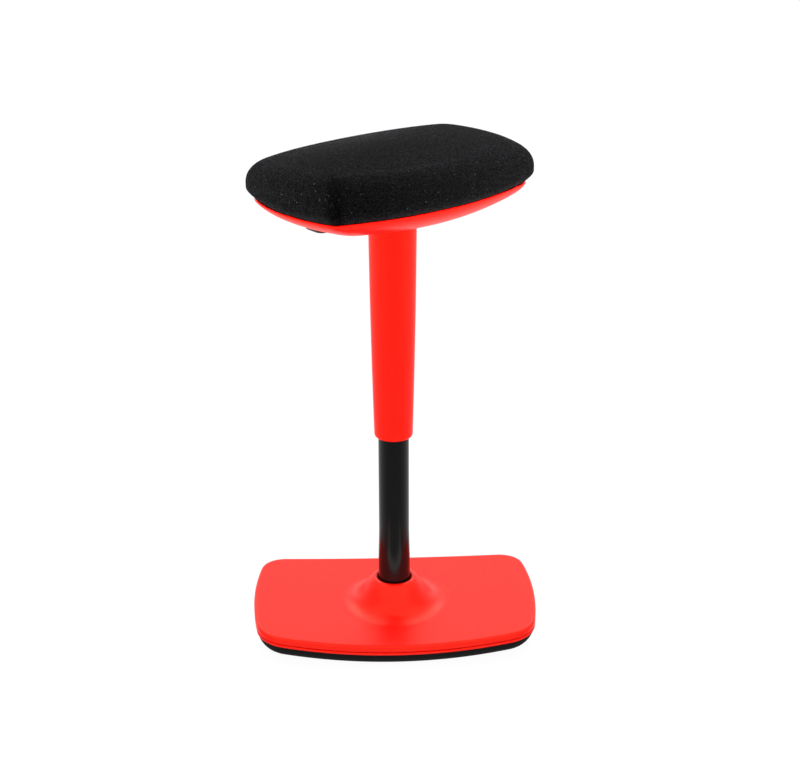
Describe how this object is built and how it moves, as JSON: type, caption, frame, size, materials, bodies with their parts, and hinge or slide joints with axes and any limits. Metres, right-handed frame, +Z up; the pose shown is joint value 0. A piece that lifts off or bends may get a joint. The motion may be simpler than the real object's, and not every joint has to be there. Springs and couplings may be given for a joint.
{
  "type": "wobble stool",
  "caption": "Height-adjustable wobble stool with a rocking base, a flared collar, a tapered column sleeve and a padded swivel seat.",
  "frame": {"origin": "centre of the sole's flat foot patch, on the floor under the column's axis", "axes": "+Z up along the column, +X along the base's long side, +Y to the back"},
  "size_m": [0.474, 0.4112, 0.8299],
  "materials": {
    "red_plastic": "satin",
    "black_rubber": "matte",
    "black_steel": "satin",
    "black_plastic": "satin",
    "bright_steel": "polished",
    "zinc_steel": "satin",
    "bush_plastic": "satin",
    "plywood": "matte",
    "seat_foam": "matte",
    "seat_fabric": "matte"
  },
  "bodies": {
    "base": {"sole": "black_rubber", "base_pan": "red_plastic", "base_cover": "red_plastic", "ballast_plate": "zinc_steel", "column_hub": "black_steel", "stand_tube": "black_steel", "guide_bush": "bush_plastic", "bearing_lower_washer": "bright_steel", "bearing_ball_cage": "bright_steel", "cover_screw_1": "zinc_steel", "cover_screw_2": "zinc_steel", "cover_screw_3": "zinc_steel", "cover_screw_4": "zinc_steel", "ballast_screw_1": "zinc_steel", "ballast_screw_2": "zinc_steel", "ballast_screw_3": "zinc_steel", "ballast_screw_4": "zinc_steel", "hub_bolt_1": "zinc_steel", "hub_bolt_2": "zinc_steel", "hub_bolt_3": "zinc_steel", "hub_bolt_4": "zinc_steel"},
    "spindle": {"piston_rod": "bright_steel", "piston": "bright_steel", "bearing_upper_washer": "bright_steel", "bump_stop": "black_rubber", "rod_washer": "zinc_steel", "rod_clip": "zinc_steel"},
    "seat": {"gas_spring": "black_steel", "rod_guide": "black_plastic", "taper_socket": "zinc_steel", "seat_plate": "black_steel", "seat_board": "plywood", "pad_foam": "seat_foam", "pad_cover": "seat_fabric", "seat_shell": "red_plastic", "column_sleeve": "red_plastic", "sleeve_ring": "zinc_steel", "lever_pivot_pin": "zinc_steel", "tee_nut_1": "zinc_steel", "tee_nut_2": "zinc_steel", "tee_nut_3": "zinc_steel", "tee_nut_4": "zinc_steel", "plate_bolt_1": "zinc_steel", "plate_bolt_2": "zinc_steel", "plate_bolt_3": "zinc_steel", "plate_bolt_4": "zinc_steel", "shell_screw_1": "zinc_steel", "shell_screw_2": "zinc_steel", "shell_screw_3": "zinc_steel", "shell_screw_4": "zinc_steel"},
    "lever": {"lever_arm": "zinc_steel", "lever_paddle": "black_plastic"},
    "pin": {"release_pin": "bright_steel"}
  },
  "joints": [
    {"name": "seat_swivel", "type": "hinge", "parent": "base", "child": "spindle", "pos_m": [0, 0, 0.034], "axis": [0, 0, 1], "continuous": true},
    {"name": "seat_lift", "type": "slide", "parent": "spindle", "child": "seat", "axis": [0, 0, 1], "range_m": [-0.25, 0]},
    {"name": "release_lever", "type": "hinge", "parent": "seat", "child": "lever", "pos_m": [-0.0273, -0.01244, 0.7502], "axis": [-0.4147, 0.91, 0], "range_deg": [0, 3], "stiffness_Nm_per_rad": 2},
    {"name": "release_pin_press", "type": "slide", "parent": "seat", "child": "pin", "axis": [0, 0, -1], "range_m": [0, 0.0016]}
  ],
  "couplings": [
    {"joint": "release_pin_press", "follows": "release_lever", "m_per_rad": 0.03}
  ]
}
